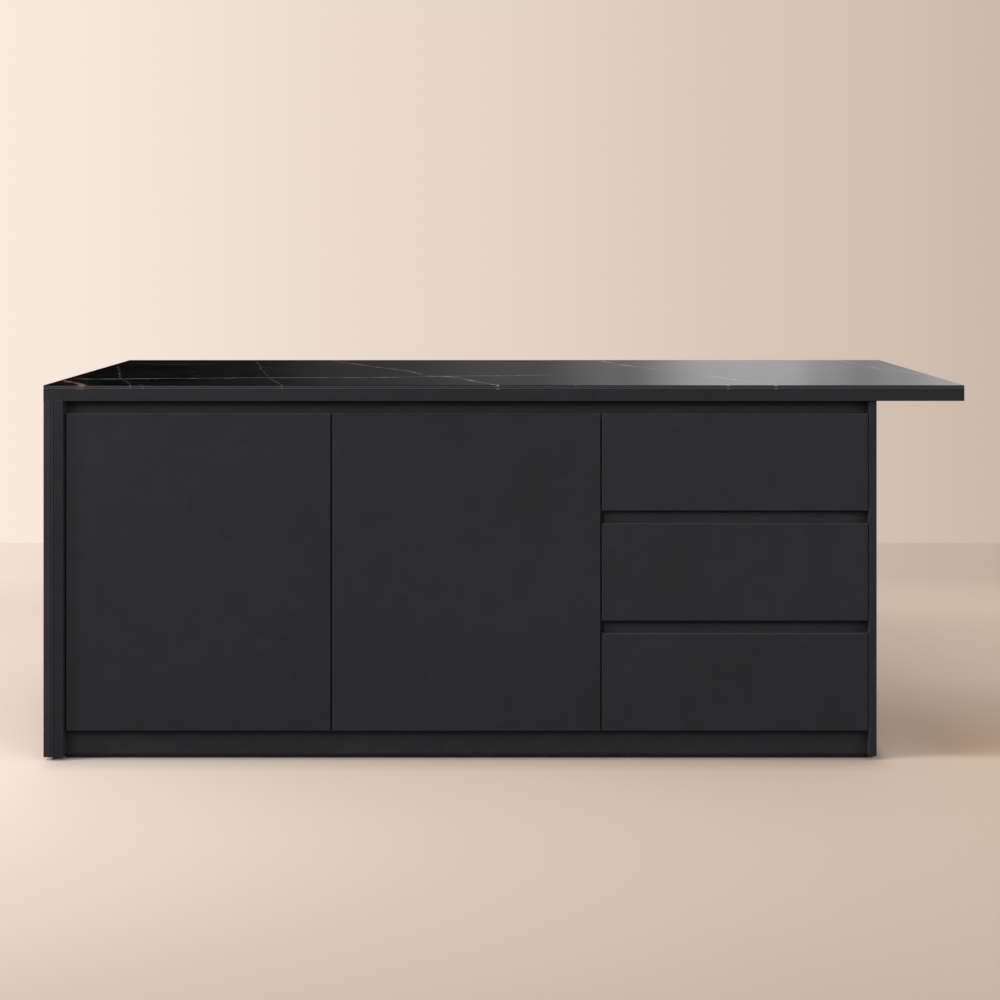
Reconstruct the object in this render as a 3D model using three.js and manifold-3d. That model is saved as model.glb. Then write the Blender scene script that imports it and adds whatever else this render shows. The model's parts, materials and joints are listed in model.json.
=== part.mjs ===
// A free-standing kitchen island: two hinged cupboard doors and a stack of three
// drawers under a thin polished stone slab on a black core board.
// Millimetres, +Z up, +X to the right, the front towards -Y.
// The origin is the centre of the footprint, on the floor.
import * as THREE from "three";
import { mergeVertices } from "three/addons/utils/BufferGeometryUtils.js";
import Module from "manifold-3d";

const wasm = await Module();
wasm.setup();

// Driving dimensions of the worktop.
const WIDTH = 2225;
const DEPTH = 900;
const HEIGHT = 908;
const SLAB = 10;
const CORE = 28;

// Board thicknesses.
const BOARD = 18;
const PACKER = 7;
const HEAVY_BOARD = 22;
const DRAWER_BOARD = 16;

// The cabinet under the worktop, from the left end to the right.
const BAYS = [638, 636, 640];
const GABLE_BOTTOM = 9;
const PLINTH_BOTTOM = 8;
const PLINTH_TOP = 68;
const PLINTH_BOARD = 16;
const REAR_OVERHANG = 300;
const RIGHT_SIDE_SETBACK = 8;
const FRONT_SETBACK = 12;
const BUMPER_GAP = 3;
const PLINTH_REAR_SETBACK = 20;
const RAIL_DEPTH = 100;
const SHELF_BOTTOM = 460;
const SHELF_SETBACK = 37;

// Doors and drawer fronts.
const FRONT_BOTTOM = 70;
const FRONT_HEIGHT = 768;
const FRONT_GAP = 4;
const RIGHT_GAP = 2;
const DRAWER_GAP = 32;
const DRAWERS = ["bottom", "middle", "top"];

// Finger channels: bent aluminium strip behind the gaps.
const CHANNEL_SHEET = 2;
const CHANNEL_DEPTH = 17;
const CHANNEL_LIP = 20;
const CHANNEL_BEND = 8;
const NOTCH_CLEARANCE = 2;

// Glides: screwed pads under the gables.
const GLIDE_RADIUS = 8;
const GLIDE_EDGE = 1;
const GLIDE_PAD = 5;
const GLIDE_STEM_RADIUS = 5;
const GLIDE_INSET = 30;

// Adjustable legs under the middle of the base panel.
const FOOT_RADIUS = 25;
const FOOT_THICKNESS = 5;
const STEM_RADIUS = 12;
const SOCKET_RADIUS = 20;
const SOCKET_BOTTOM = 46;
const LEG_PLATE_RADIUS = 32;
const LEG_PLATE_THICKNESS = 5;
const LEG_INSET = 77;

// Drawer boxes and their runners.
const RUNNER_LENGTH = 500;
const RUNNER_SETBACK = 1;
const RUNNER_DEPTH = 12;
const RUNNER_HEIGHT = 40;
const RUNNER_SHEET = 1.5;
const SIDE_HEIGHT = 150;
const SIDE_OUTER = 13;
const SIDE_INNER = 26;
const TONGUE_OUTER = 4;
const TONGUE_HEIGHT = 28;
const SIDE_BEND = 2;
const RUNNER_RISE = 40;
const BOX_RISE = 30;

// Concealed hinges, in the plane seen from above. u runs from the door's hinge edge
// towards its free edge, and v from its front face backwards.
const CUP_RADIUS = 17.5;
const CUP_CENTRE_U = 22.5;
const CUP_DEPTH = 11.5;
const CUP_WALL = 1;
const CUP_CLEARANCE = 0.3;
const FLANGE_LENGTH = 62;
const FLANGE_WIDTH = 20;
const FLANGE_SHEET = 1.5;
const HINGE_AXIS = new THREE.Vector2(6, 6);
const ARM_PIVOT = new THREE.Vector2(32.5, 12);
const LINK_END = new THREE.Vector2(12.7, 15);
const LINK_BOW = 2.3;
const HINGE_FROM_END = 100;
const ARM_LENGTH = 92;
const ARM_WIDTH = 13;
const ARM_THICKNESS = 6;
const ARM_NECK = 24;
const ARM_SLOPE = 20;
const FORK_GAP = 8.6;
const PIN_RADIUS = 1.5;
const PLATE_SHEET = 2;
const PLATE_LENGTH = 46;
const PLATE_HEIGHT = 40;
const LINK_WIDTH = 8;
const LINK_EYE = 3.2;
const LINK_TIP = 2.4;
const LINK_THICKNESS = 4;
const LINK_BORE = 1.8;

const CURVE_STEPS = 5;
const ROUND_STEPS = 32;
const SMALL_ROUND_STEPS = 20;

// Places worked out from the dimensions above.
const leftEnd = -WIDTH / 2;
const worktopFront = -DEPTH / 2;
const worktopBack = DEPTH / 2;
const coreBottom = HEIGHT - SLAB - CORE;
const packerLeft = leftEnd + BOARD;
const sideLeft = packerLeft + PACKER;
const firstBay = sideLeft + HEAVY_BOARD;
const bayStart = (bay) => BAYS.slice(0, bay).reduce((x, width) => x + width + BOARD, firstBay);
const bayEnd = (bay) => bayStart(bay) + BAYS[bay];
const cabinetRight = bayEnd(2) + BOARD;
const doorMeeting = (bayEnd(0) + bayStart(1)) / 2;
const cabinetBack = worktopBack - REAR_OVERHANG;
const carcassBack = cabinetBack - BOARD;
const faceFront = worktopFront + FRONT_SETBACK;
const faceBack = faceFront + BOARD;
const carcassFront = faceBack + BUMPER_GAP;
const channelBack = carcassFront + CHANNEL_DEPTH;
const frontTop = FRONT_BOTTOM + FRONT_HEIGHT;
const baseTop = PLINTH_TOP + BOARD;
const railBottom = coreBottom - BOARD;
const drawerFrontHeight = (FRONT_HEIGHT - 2 * DRAWER_GAP) / 3;
const drawerBottom = (index) => FRONT_BOTTOM + index * (drawerFrontHeight + DRAWER_GAP);

const finish = (name, color, roughness, metalness) =>
  new THREE.MeshStandardMaterial({ name, color, roughness, metalness });
const materials = {
  stone: finish("polished_stone", 0x1a1a1c, 0.12, 0),
  lacquer: finish("matt_black_board", 0x2e2e30, 0.55, 0),
  core: finish("core_board", 0x2c2c2e, 0.5, 0),
  inside: finish("cabinet_inside", 0x3a3a3c, 0.6, 0),
  plinth: finish("plinth_board", 0x262628, 0.6, 0),
  channel: finish("black_anodised", 0x1c1c1e, 0.45, 0.6),
  steel: finish("grey_coated_steel", 0x4a4c50, 0.4, 0.7),
  nickel: finish("nickel_plated_steel", 0xb4b4b0, 0.3, 1),
  pad: finish("glide_plastic", 0x141414, 0.7, 0),
};

const island = new THREE.Group();
island.name = "kitchen_island";

// Adds a named mesh to a group.
function add(parent, name, geometry, material) {
  const mesh = new THREE.Mesh(geometry, material);
  mesh.name = name;
  parent.add(mesh);
  return mesh;
}

// Adds a board, given by its lowest and highest value on each axis.
function addBoard(parent, name, material, [x0, x1], [y0, y1], [z0, z1]) {
  const mesh = add(parent, name, new THREE.BoxGeometry(x1 - x0, y1 - y0, z1 - z0), material);
  mesh.position.set((x0 + x1) / 2, (y0 + y1) / 2, (z0 + z1) / 2);
  return mesh;
}

// Turns a closed geometry into a solid that can be joined and cut.
function solid(geometry) {
  const bare = geometry.clone();
  bare.deleteAttribute("normal");
  bare.deleteAttribute("uv");
  const merged = mergeVertices(bare, 1e-4);
  return new wasm.Manifold(
    new wasm.Mesh({
      numProp: 3,
      vertProperties: merged.attributes.position.array,
      triVerts: new Uint32Array(merged.index.array),
    }),
  );
}

// Turns a solid back into a geometry with flat faces.
function geometryOf(shape) {
  const mesh = shape.getMesh();
  const indexed = new THREE.BufferGeometry();
  indexed.setAttribute("position", new THREE.BufferAttribute(mesh.vertProperties, 3));
  indexed.setIndex(new THREE.BufferAttribute(mesh.triVerts, 1));
  const flat = indexed.toNonIndexed();
  flat.computeVertexNormals();
  return flat;
}

function extrude(outline, depth) {
  return new THREE.ExtrudeGeometry(outline, {
    depth,
    bevelEnabled: false,
    curveSegments: ROUND_STEPS / 2,
  });
}

// Extrudes an outline drawn in (y, z) along +X, from x0 to x1.
function alongX(outline, x0, x1) {
  const axes = new THREE.Matrix4().makeBasis(
    new THREE.Vector3(0, 1, 0),
    new THREE.Vector3(0, 0, 1),
    new THREE.Vector3(1, 0, 0),
  );
  return extrude(outline, x1 - x0).applyMatrix4(axes).translate(x0, 0, 0);
}

// Extrudes an outline drawn in (x, z) along Y, from y0 to y1.
function alongY(outline, y0, y1) {
  const axes = new THREE.Matrix4().makeBasis(
    new THREE.Vector3(1, 0, 0),
    new THREE.Vector3(0, 0, 1),
    new THREE.Vector3(0, -1, 0),
  );
  return extrude(outline, y1 - y0).applyMatrix4(axes).translate(0, y1, 0);
}

// Extrudes an outline drawn in (x, y) along Z, centred on z = 0.
function acrossZ(outline, width) {
  return extrude(outline, width).translate(0, 0, -width / 2);
}

// A cylinder along Z, centred on z = 0.
function roundBar(x, y, radius, width) {
  return new THREE.CylinderGeometry(radius, radius, width, SMALL_ROUND_STEPS)
    .rotateX(Math.PI / 2)
    .translate(x, y, 0);
}

// A line through the given corners, with each inner corner rounded.
function roundedLine(corners, bend) {
  const path = new THREE.Path();
  path.moveTo(corners[0].x, corners[0].y);
  for (let i = 1; i < corners.length - 1; i++) {
    const corner = corners[i];
    const from = corners[i - 1].clone().sub(corner).setLength(bend).add(corner);
    const to = corners[i + 1].clone().sub(corner).setLength(bend).add(corner);
    path.lineTo(from.x, from.y);
    path.quadraticCurveTo(corner.x, corner.y, to.x, to.y);
  }
  const last = corners[corners.length - 1];
  path.lineTo(last.x, last.y);
  return path.getPoints(CURVE_STEPS);
}

// The outline of a strip of even thickness that follows a centre line.
function stripOutline(line, thickness) {
  const half = thickness / 2;
  const oneSide = [];
  const otherSide = [];
  line.forEach((point, i) => {
    const before = line[Math.max(i - 1, 0)];
    const after = line[Math.min(i + 1, line.length - 1)];
    const into = point.clone().sub(before).normalize();
    const outOf = after.clone().sub(point).normalize();
    const along = into.clone().add(outOf).normalize();
    const aside = new THREE.Vector2(-along.y, along.x);
    const straight = i === 0 ? outOf : into;
    const mitre = half / along.dot(straight);
    oneSide.push(point.clone().addScaledVector(aside, mitre));
    otherSide.unshift(point.clone().addScaledVector(aside, -mitre));
  });
  return new THREE.Shape([...oneSide, ...otherSide]);
}

const points = (pairs) => pairs.map(([x, y]) => new THREE.Vector2(x, y));

// ---- Worktop ----
const acrossWorktop = [leftEnd, -leftEnd];
const deepWorktop = [worktopFront, worktopBack];
addBoard(island, "worktop_slab", materials.stone, acrossWorktop, deepWorktop, [HEIGHT - SLAB, HEIGHT]);
addBoard(island, "worktop_core", materials.core, acrossWorktop, deepWorktop, [coreBottom, HEIGHT - SLAB]);

// ---- Gables: three layers on the left, one on the right ----
const gableHeight = [GABLE_BOTTOM, coreBottom];
addBoard(island, "left_end_panel", materials.lacquer, [leftEnd, packerLeft], deepWorktop, gableHeight);
const gableDepth = [worktopFront, carcassBack];
addBoard(island, "left_packer", materials.lacquer, [packerLeft, sideLeft], gableDepth, gableHeight);
addBoard(island, "left_side_panel", materials.lacquer, [sideLeft, firstBay], gableDepth, gableHeight);
addBoard(
  island,
  "right_side_panel",
  materials.lacquer,
  [bayEnd(2), cabinetRight],
  [worktopFront + RIGHT_SIDE_SETBACK, carcassBack],
  gableHeight,
);

// ---- Carcass ----
const insideWidth = [firstBay, bayEnd(2)];
const carcassDepth = [carcassFront, carcassBack];
addBoard(island, "base_panel", materials.inside, insideWidth, carcassDepth, [PLINTH_TOP, baseTop]);
addBoard(
  island,
  "back_panel",
  materials.lacquer,
  [packerLeft, cabinetRight],
  [carcassBack, cabinetBack],
  [PLINTH_TOP, coreBottom],
);

const railHeight = [railBottom, coreBottom];
const frontRail = [channelBack, channelBack + RAIL_DEPTH];
const rearRail = [carcassBack - RAIL_DEPTH, carcassBack];
addBoard(island, "top_front_rail", materials.inside, insideWidth, frontRail, railHeight);
addBoard(island, "top_rear_rail", materials.inside, insideWidth, rearRail, railHeight);

// The plinth boards hang clear of the floor, from the base panel.
const plinthHeight = [PLINTH_BOTTOM, PLINTH_TOP];
const plinthFront = [carcassFront, carcassFront + PLINTH_BOARD];
const rearPlinthBack = carcassBack - PLINTH_REAR_SETBACK;
const plinthRear = [rearPlinthBack - PLINTH_BOARD, rearPlinthBack];
addBoard(island, "plinth_front", materials.plinth, insideWidth, plinthFront, plinthHeight);
addBoard(island, "plinth_rear", materials.plinth, insideWidth, plinthRear, plinthHeight);

// The partitions are notched at the top front corner, where the finger channel passes.
const notchBack = channelBack + NOTCH_CLEARANCE;
const notchBottom = frontTop - CHANNEL_LIP - NOTCH_CLEARANCE;
const partitionOutline = new THREE.Shape(
  points([
    [carcassFront, baseTop],
    [carcassBack, baseTop],
    [carcassBack, railBottom],
    [notchBack, railBottom],
    [notchBack, notchBottom],
    [carcassFront, notchBottom],
  ]),
);
["centre_partition", "drawer_partition"].forEach((name, bay) => {
  const geometry = alongX(partitionOutline, bayEnd(bay), bayStart(bay + 1));
  add(island, name, geometry, materials.inside);
});

["shelf_left", "shelf_right"].forEach((name, bay) => {
  const depth = [carcassFront + SHELF_SETBACK, carcassBack];
  const height = [SHELF_BOTTOM, SHELF_BOTTOM + BOARD];
  addBoard(island, name, materials.inside, [bayStart(bay), bayEnd(bay)], depth, height);
});

// ---- Finger channels ----
const halfSheet = CHANNEL_SHEET / 2;
const webLine = channelBack - halfSheet;
const channelFloor = frontTop - CHANNEL_LIP + halfSheet;
const topChannelLine = roundedLine(
  points([
    [webLine, coreBottom],
    [webLine, channelFloor],
    [carcassFront, channelFloor],
  ]),
  CHANNEL_BEND,
);
const topChannel = alongX(stripOutline(topChannelLine, CHANNEL_SHEET), firstBay, bayEnd(2));
add(island, "finger_channel_top", topChannel, materials.channel);

const channelHalfHeight = DRAWER_GAP / 2 + CHANNEL_LIP - halfSheet;
const drawerChannelLine = roundedLine(
  points([
    [carcassFront, -channelHalfHeight],
    [webLine, -channelHalfHeight],
    [webLine, channelHalfHeight],
    [carcassFront, channelHalfHeight],
  ]),
  CHANNEL_BEND,
);
["finger_channel_lower", "finger_channel_upper"].forEach((name, index) => {
  const outline = stripOutline(drawerChannelLine, CHANNEL_SHEET);
  const mesh = add(island, name, alongX(outline, bayStart(2), bayEnd(2)), materials.channel);
  mesh.position.z = drawerBottom(index + 1) - DRAWER_GAP / 2;
});

// ---- Glides and legs ----
// Adds a foot turned from a profile of (radius, height) points.
function addFoot(name, profile, [x, y]) {
  const geometry = new THREE.LatheGeometry(points(profile), ROUND_STEPS / 2).rotateX(Math.PI / 2);
  add(island, name, geometry, materials.pad).position.set(x, y, 0);
}

const glideProfile = [
  [0, 0],
  [GLIDE_RADIUS - GLIDE_EDGE, 0],
  [GLIDE_RADIUS, GLIDE_EDGE],
  [GLIDE_RADIUS, GLIDE_PAD],
  [GLIDE_STEM_RADIUS, GLIDE_PAD],
  [GLIDE_STEM_RADIUS, GABLE_BOTTOM],
  [0, GABLE_BOTTOM],
];
const glidePlaces = {
  glide_front_left: [(leftEnd + firstBay) / 2, worktopFront + GLIDE_INSET],
  glide_rear_left: [(leftEnd + packerLeft) / 2, worktopBack - GLIDE_INSET],
  glide_front_right: [(bayEnd(2) + cabinetRight) / 2, worktopFront + RIGHT_SIDE_SETBACK + GLIDE_INSET],
  glide_rear_right: [(bayEnd(2) + cabinetRight) / 2, carcassBack - GLIDE_INSET],
};
for (const [name, place] of Object.entries(glidePlaces)) addFoot(name, glideProfile, place);

const legProfile = [
  [0, 0],
  [FOOT_RADIUS, 0],
  [FOOT_RADIUS, FOOT_THICKNESS],
  [STEM_RADIUS, FOOT_THICKNESS],
  [STEM_RADIUS, SOCKET_BOTTOM],
  [SOCKET_RADIUS, SOCKET_BOTTOM],
  [SOCKET_RADIUS, PLINTH_TOP - LEG_PLATE_THICKNESS],
  [LEG_PLATE_RADIUS, PLINTH_TOP - LEG_PLATE_THICKNESS],
  [LEG_PLATE_RADIUS, PLINTH_TOP],
  [0, PLINTH_TOP],
];
addFoot("leg_front_middle", legProfile, [doorMeeting, carcassFront + LEG_INSET]);
addFoot("leg_rear_middle", legProfile, [doorMeeting, carcassBack - LEG_INSET]);

// ---- Concealed hinges ----
// side is 1 where u runs towards +X, and -1 where it runs towards -X.

// The steel cup, with a flange that lies on the back of the door.
function hingeCup(side) {
  const outer = CUP_RADIUS - CUP_CLEARANCE;
  const inner = outer - CUP_WALL;
  const profile = points([
    [0, 0],
    [outer, 0],
    [outer, CUP_DEPTH],
    [inner, CUP_DEPTH],
    [inner, CUP_WALL],
    [0, CUP_WALL],
  ]);
  const cup = new THREE.LatheGeometry(profile, ROUND_STEPS);
  cup.translate(side * CUP_CENTRE_U, BOARD - CUP_DEPTH, 0);

  const straight = FLANGE_LENGTH / 2 - FLANGE_WIDTH / 2;
  const plate = new THREE.Shape();
  plate.absarc(0, straight, FLANGE_WIDTH / 2, 0, Math.PI, false);
  plate.absarc(0, -straight, FLANGE_WIDTH / 2, Math.PI, 2 * Math.PI, false);
  plate.closePath();
  const centre = side * CUP_CENTRE_U;
  const plateBody = alongY(plate, BOARD, BOARD + FLANGE_SHEET).translate(centre, 0, 0);
  const rim = new THREE.CylinderGeometry(outer + CUP_WALL, outer + CUP_WALL, FLANGE_SHEET, ROUND_STEPS);
  rim.translate(centre, BOARD + FLANGE_SHEET / 2, 0);
  const mouth = new THREE.CylinderGeometry(inner, inner, 2 * FLANGE_SHEET, ROUND_STEPS);
  mouth.translate(centre, BOARD + FLANGE_SHEET / 2, 0);
  const flange = solid(plateBody).add(solid(rim)).subtract(solid(mouth));
  return geometryOf(solid(cup).add(flange));
}

// The arm that reaches from the cabinet into the cup, with its mounting plate. It ends in
// a fork with a pin, on which the link turns.
function hingeArm(side, panelU) {
  const straightU = panelU + PLATE_SHEET + ARM_THICKNESS / 2;
  const line = points([
    [side * ARM_PIVOT.x, ARM_PIVOT.y],
    [side * ARM_PIVOT.x, ARM_NECK],
    [side * straightU, ARM_NECK + ARM_SLOPE],
    [side * straightU, ARM_LENGTH],
  ]);
  const strip = acrossZ(stripOutline(line, ARM_THICKNESS), ARM_WIDTH);
  const knuckle = roundBar(side * ARM_PIVOT.x, ARM_PIVOT.y, ARM_THICKNESS / 2, ARM_WIDTH);
  const slot = new THREE.BoxGeometry(3 * ARM_THICKNESS, 2 * LINK_EYE + ARM_THICKNESS, FORK_GAP);
  slot.translate(side * ARM_PIVOT.x, ARM_PIVOT.y - LINK_EYE / 2, 0);
  const pin = roundBar(side * ARM_PIVOT.x, ARM_PIVOT.y, PIN_RADIUS, (FORK_GAP + ARM_WIDTH) / 2);
  const plate = new THREE.BoxGeometry(PLATE_SHEET, PLATE_LENGTH, PLATE_HEIGHT);
  plate.translate(side * (panelU + PLATE_SHEET / 2), ARM_LENGTH - PLATE_LENGTH / 2, 0);
  return geometryOf(
    solid(strip).add(solid(knuckle)).subtract(solid(slot)).add(solid(pin)).add(solid(plate)),
  );
}

// The link between the arm's pin and the cup, bowed towards the floor of the cup. Its
// origin is the pin.
function hingeLink(side) {
  const reach = LINK_END.clone().sub(ARM_PIVOT);
  const bowed = reach.clone().multiplyScalar(0.5);
  bowed.addScaledVector(new THREE.Vector2(-reach.y, reach.x).normalize(), 2 * LINK_BOW);
  const centreLine = new THREE.QuadraticBezierCurve(
    new THREE.Vector2(0, 0),
    new THREE.Vector2(side * bowed.x, bowed.y),
    new THREE.Vector2(side * reach.x, reach.y),
  ).getPoints(2 * CURVE_STEPS);
  const strip = solid(acrossZ(stripOutline(centreLine, LINK_THICKNESS), LINK_WIDTH));
  const eye = solid(roundBar(0, 0, LINK_EYE, LINK_WIDTH));
  const tip = solid(roundBar(side * reach.x, reach.y, LINK_TIP, LINK_WIDTH));
  const bore = solid(roundBar(0, 0, LINK_BORE, 2 * LINK_WIDTH));
  return geometryOf(strip.add(eye).add(tip).subtract(bore));
}

// ---- Doors ----
// Each door's group sits on its hinge axis, at the floor of the island's frame.
const hingeHeights = {
  lower: FRONT_BOTTOM + HINGE_FROM_END,
  upper: frontTop - HINGE_FROM_END,
};
const doorLeftEdge = firstBay + FRONT_GAP;
const doorRightEdge = (bayEnd(1) + bayStart(2)) / 2 - FRONT_GAP / 2;
const doorKinds = [
  {
    label: "left",
    side: 1,
    hingeX: doorLeftEdge,
    width: doorMeeting - FRONT_GAP / 2 - doorLeftEdge,
    panelU: firstBay - doorLeftEdge,
  },
  {
    label: "right",
    side: -1,
    hingeX: doorRightEdge,
    width: doorRightEdge - doorMeeting - FRONT_GAP / 2,
    panelU: doorRightEdge - bayEnd(1),
  },
];
for (const { label, side, hingeX, width, panelU } of doorKinds) {
  const door = new THREE.Group();
  door.position.set(hingeX + side * HINGE_AXIS.x, faceFront + HINGE_AXIS.y, 0);
  island.add(door);
  const toCorner = new THREE.Vector3(-side * HINGE_AXIS.x, -HINGE_AXIS.y, 0);

  const slab = new THREE.BoxGeometry(width, BOARD, FRONT_HEIGHT);
  slab.translate(side * (width / 2), BOARD / 2, FRONT_BOTTOM + FRONT_HEIGHT / 2);
  let panel = solid(slab);
  for (const height of Object.values(hingeHeights)) {
    const boreDepth = CUP_DEPTH + CUP_CLEARANCE;
    const bore = new THREE.CylinderGeometry(CUP_RADIUS, CUP_RADIUS, 2 * boreDepth, ROUND_STEPS);
    bore.translate(side * CUP_CENTRE_U, BOARD, height);
    panel = panel.subtract(solid(bore));
  }
  add(door, "door_" + label, geometryOf(panel), materials.lacquer).position.copy(toCorner);

  for (const [level, height] of Object.entries(hingeHeights)) {
    const cup = add(door, `hinge_cup_${label}_${level}`, hingeCup(side), materials.nickel);
    cup.position.set(toCorner.x, toCorner.y, height);
    const arm = hingeArm(side, panelU);
    add(island, `hinge_arm_${label}_${level}`, arm, materials.nickel).position.set(hingeX, faceFront, height);
    const link = add(island, `hinge_link_${label}_${level}`, hingeLink(side), materials.nickel);
    link.position.set(hingeX + side * ARM_PIVOT.x, faceFront + ARM_PIVOT.y, height);
  }
}

// ---- Drawers ----
// A steel side, rolled from one sheet: two walls joined at the top, with a tongue on the
// outer wall that slides in the runner. u is the distance from the cabinet wall.
function drawerSide(wallX, towards) {
  const half = RUNNER_SHEET / 2;
  const outer = SIDE_OUTER + half;
  const inner = SIDE_INNER - half;
  const tongue = TONGUE_OUTER + half;
  const tongueBottom = RUNNER_RISE - TONGUE_HEIGHT / 2 + half;
  const tongueTop = RUNNER_RISE + TONGUE_HEIGHT / 2 - half;
  const top = SIDE_HEIGHT - half;
  const line = points([
    [outer, 0],
    [outer, tongueBottom],
    [tongue, tongueBottom],
    [tongue, tongueTop],
    [outer, tongueTop],
    [outer, top],
    [inner, top],
    [inner, 0],
  ]).map((p) => new THREE.Vector2(wallX + towards * p.x, p.y));
  const outline = stripOutline(roundedLine(line, SIDE_BEND), RUNNER_SHEET);
  return alongY(outline, faceBack, faceBack + RUNNER_LENGTH);
}

// A cabinet runner: a channel of steel, open towards the drawer.
function cabinetRunner(wallX, towards) {
  const half = RUNNER_SHEET / 2;
  const line = points([
    [RUNNER_DEPTH, half - RUNNER_HEIGHT / 2],
    [half, half - RUNNER_HEIGHT / 2],
    [half, RUNNER_HEIGHT / 2 - half],
    [RUNNER_DEPTH, RUNNER_HEIGHT / 2 - half],
  ]).map((p) => new THREE.Vector2(wallX + towards * p.x, p.y));
  const start = carcassFront + RUNNER_SETBACK;
  return alongY(stripOutline(line, RUNNER_SHEET), start, start + RUNNER_LENGTH);
}

const drawerBay = [bayStart(2), bayEnd(2)];
const drawerRight = bayEnd(2) - RIGHT_GAP;
const drawerLeft = doorRightEdge + FRONT_GAP;
const boxBack = faceBack + RUNNER_LENGTH;
DRAWERS.forEach((label, index) => {
  const drawer = new THREE.Group();
  drawer.position.z = drawerBottom(index);
  island.add(drawer);

  const frontSpan = [drawerLeft, drawerRight];
  const frontDepth = [faceFront, faceBack];
  const frontHeight = [0, drawerFrontHeight];
  addBoard(drawer, label + "_drawer_front", materials.lacquer, frontSpan, frontDepth, frontHeight);

  const insideSpan = [drawerBay[0] + SIDE_INNER, drawerBay[1] - SIDE_INNER];
  const backStart = boxBack - DRAWER_BOARD;
  const floorHeight = [BOX_RISE, BOX_RISE + DRAWER_BOARD];
  const backHeight = [BOX_RISE, BOX_RISE + SIDE_HEIGHT];
  addBoard(drawer, label + "_drawer_floor", materials.inside, insideSpan, [faceBack, backStart], floorHeight);
  addBoard(drawer, label + "_drawer_back", materials.inside, insideSpan, [backStart, boxBack], backHeight);

  const walls = { left: [drawerBay[0], 1], right: [drawerBay[1], -1] };
  for (const [hand, [wallX, towards]] of Object.entries(walls)) {
    const side = drawerSide(wallX, towards);
    add(drawer, `${label}_drawer_${hand}_side`, side, materials.steel).position.z = BOX_RISE;
    const runner = add(island, `${label}_runner_${hand}`, cabinetRunner(wallX, towards), materials.steel);
    runner.position.z = drawerBottom(index) + BOX_RISE + RUNNER_RISE;
  }
});

export default island;
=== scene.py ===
import json
import math

import bmesh
import bpy
from mathutils import Matrix, Vector
from mathutils.geometry import tessellate_polygon


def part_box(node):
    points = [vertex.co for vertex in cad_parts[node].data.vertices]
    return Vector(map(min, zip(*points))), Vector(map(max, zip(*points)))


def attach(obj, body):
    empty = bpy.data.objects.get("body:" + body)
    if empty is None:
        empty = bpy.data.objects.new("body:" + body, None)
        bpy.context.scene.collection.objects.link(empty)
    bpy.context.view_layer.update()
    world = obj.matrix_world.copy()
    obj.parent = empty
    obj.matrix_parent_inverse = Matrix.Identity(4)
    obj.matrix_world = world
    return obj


# The finish, small fittings, studio and camera of a matt black kitchen island with a
# polished black stone top. Metres, +Z up, the front towards -Y.
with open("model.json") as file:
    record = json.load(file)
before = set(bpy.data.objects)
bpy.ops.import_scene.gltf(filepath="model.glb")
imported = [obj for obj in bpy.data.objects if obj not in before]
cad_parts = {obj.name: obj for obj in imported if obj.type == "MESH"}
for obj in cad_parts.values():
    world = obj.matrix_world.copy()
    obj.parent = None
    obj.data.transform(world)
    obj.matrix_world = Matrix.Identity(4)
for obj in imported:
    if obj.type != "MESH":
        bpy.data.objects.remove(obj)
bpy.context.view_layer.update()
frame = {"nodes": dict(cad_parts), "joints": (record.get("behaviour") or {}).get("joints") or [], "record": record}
nodes = frame["nodes"]

# The two hands of a bay with the way inwards from each, and the two ends of a pair.
HANDS = (("left", 1), ("right", -1))
ENDS = (("low", -1), ("high", 1))
LEVELS = ("lower", "upper")
DRAWERS = ("bottom", "middle", "top")

# Materials that fittings share with the CAD nodes.
STEEL = "nickel_plated_steel"
COATED = "grey_coated_steel"
PLASTIC = "glide_plastic"


# ---------------------------------------------------------------- colours and nodes

def linear(level):
    """The linear value that shows as a screen level from 0 to 255."""
    share = level / 255
    return share / 12.92 if share <= 0.04045 else ((share + 0.055) / 1.055) ** 2.4


def shade(red, green, blue):
    """A colour given as it shows on the screen."""
    return (linear(red), linear(green), linear(blue), 1.0)


def grey(level):
    return shade(level, level, level)


def cool(level, lift=2):
    """A grey with its blue lifted a little."""
    return shade(level, level, level + lift)


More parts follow.
